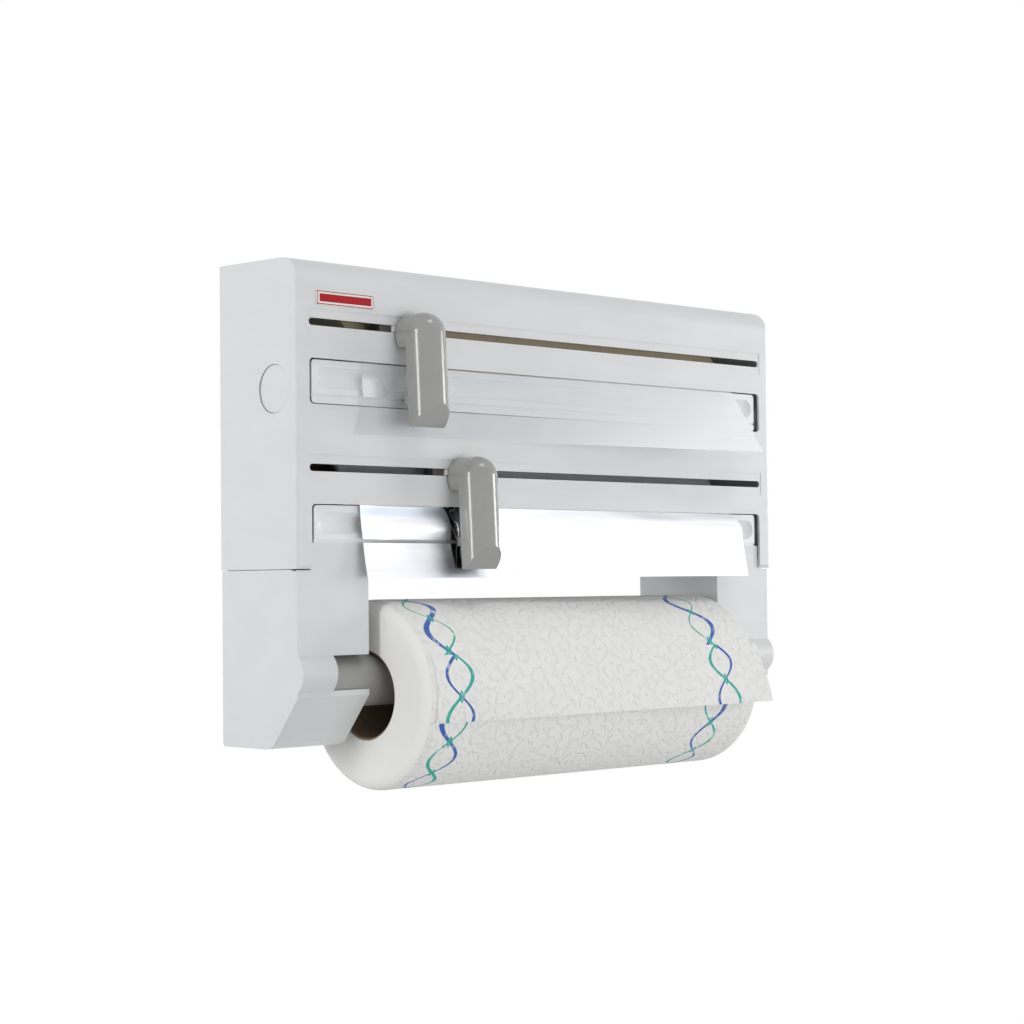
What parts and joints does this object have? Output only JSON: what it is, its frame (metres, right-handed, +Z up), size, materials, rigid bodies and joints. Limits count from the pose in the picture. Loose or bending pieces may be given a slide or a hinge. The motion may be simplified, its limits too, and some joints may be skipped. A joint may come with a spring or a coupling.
{
  "type": "wall-mounted roll holder",
  "caption": "Wall-mounted holder for cling film, foil and kitchen paper, with a tip-down cover, sliding cutters in slots and a sprung axle between brackets.",
  "frame": {"origin": "on the wall plane, at the middle of the wall screw holes", "axes": "+X along the rolls, to the right seen from the front; +Y into the wall; +Z up"},
  "size_m": [0.3814, 0.1137, 0.2871],
  "materials": {
    "white_plastic": "satin white moulded plastic",
    "grey_plastic": "glossy grey moulded plastic",
    "steel": "plain steel",
    "cardboard": "matt board",
    "kitchen_paper": "embossed soft paper",
    "cling_film": "clear glossy film",
    "foil": "bright foil",
    "badge": "glossy red, blank"
  },
  "bodies": {
    "housing": {"back_panel": "white_plastic", "left_bracket": "white_plastic", "right_bracket": "white_plastic", "left_cheek": "white_plastic", "right_cheek": "white_plastic", "floor_shelf": "white_plastic", "upper_tray": "white_plastic", "lower_tray": "white_plastic", "film_cradle": "white_plastic", "foil_cradle": "white_plastic", "hinge_pins": "steel", "frame_screws": "steel", "axle_sleeve": "grey_plastic", "axle_spring": "steel"},
    "cover": {"front_cover": "white_plastic", "badge_plate": "badge", "film_sheet": "cling_film", "foil_sheet": "foil", "left_button_cup": "white_plastic", "right_button_cup": "white_plastic", "left_button_spring": "steel", "right_button_spring": "steel"},
    "cutter_upper": {"upper_handle": "grey_plastic", "upper_guide": "white_plastic", "upper_carriage": "white_plastic", "upper_blade": "steel", "upper_screw": "steel"},
    "cutter_lower": {"lower_handle": "grey_plastic", "lower_guide": "white_plastic", "lower_carriage": "white_plastic", "lower_blade": "steel", "lower_screw": "steel"},
    "latch_left": {"left_button": "white_plastic"},
    "latch_right": {"right_button": "white_plastic"},
    "axle_half": {"axle_plunger": "grey_plastic"},
    "kitchen_roll": {"paper_core": "cardboard", "paper_roll": "kitchen_paper", "paper_flap": "kitchen_paper"},
    "film": {"film_core": "cardboard", "film_roll": "cling_film"},
    "foil": {"foil_core": "cardboard", "foil_roll": "foil"}
  },
  "joints": [
    {"name": "cover_hinge", "type": "hinge", "parent": "housing", "child": "cover", "pos_m": [0, -0.0643, -0.0788], "axis": [1, 0, 0], "range_deg": [0, 55]},
    {"name": "cutter_upper_slide", "type": "slide", "parent": "cover", "child": "cutter_upper", "axis": [1, 0, 0], "range_m": [-0.047, 0.271], "deforming": ["film_sheet"]},
    {"name": "cutter_lower_slide", "type": "slide", "parent": "cover", "child": "cutter_lower", "axis": [1, 0, 0], "range_m": [-0.0845, 0.2335], "deforming": ["foil_sheet"]},
    {"name": "latch_left_press", "type": "slide", "parent": "cover", "child": "latch_left", "axis": [1, 0, 0], "range_m": [0, 0.0015], "stiffness_N_per_m": 800, "springref_m": -0.001, "deforming": ["left_button_spring"]},
    {"name": "latch_right_press", "type": "slide", "parent": "cover", "child": "latch_right", "axis": [-1, 0, 0], "range_m": [0, 0.0015], "stiffness_N_per_m": 800, "springref_m": -0.001, "deforming": ["right_button_spring"]},
    {"name": "axle_slide", "type": "slide", "parent": "housing", "child": "axle_half", "axis": [-1, 0, 0], "range_m": [0, 0.018], "stiffness_N_per_m": 200, "springref_m": -0.02, "deforming": ["axle_spring"]},
    {"name": "paper_spin", "type": "hinge", "parent": "housing", "child": "kitchen_roll", "pos_m": [0, -0.0532, -0.15069], "axis": [1, 0, 0], "continuous": true, "deforming": ["paper_flap"]},
    {"name": "film_spin", "type": "hinge", "parent": "housing", "child": "film", "pos_m": [0, -0.034, 0.0355], "axis": [1, 0, 0], "continuous": true},
    {"name": "foil_spin", "type": "hinge", "parent": "housing", "child": "foil", "pos_m": [0, -0.034, -0.0417], "axis": [1, 0, 0], "continuous": true}
  ]
}
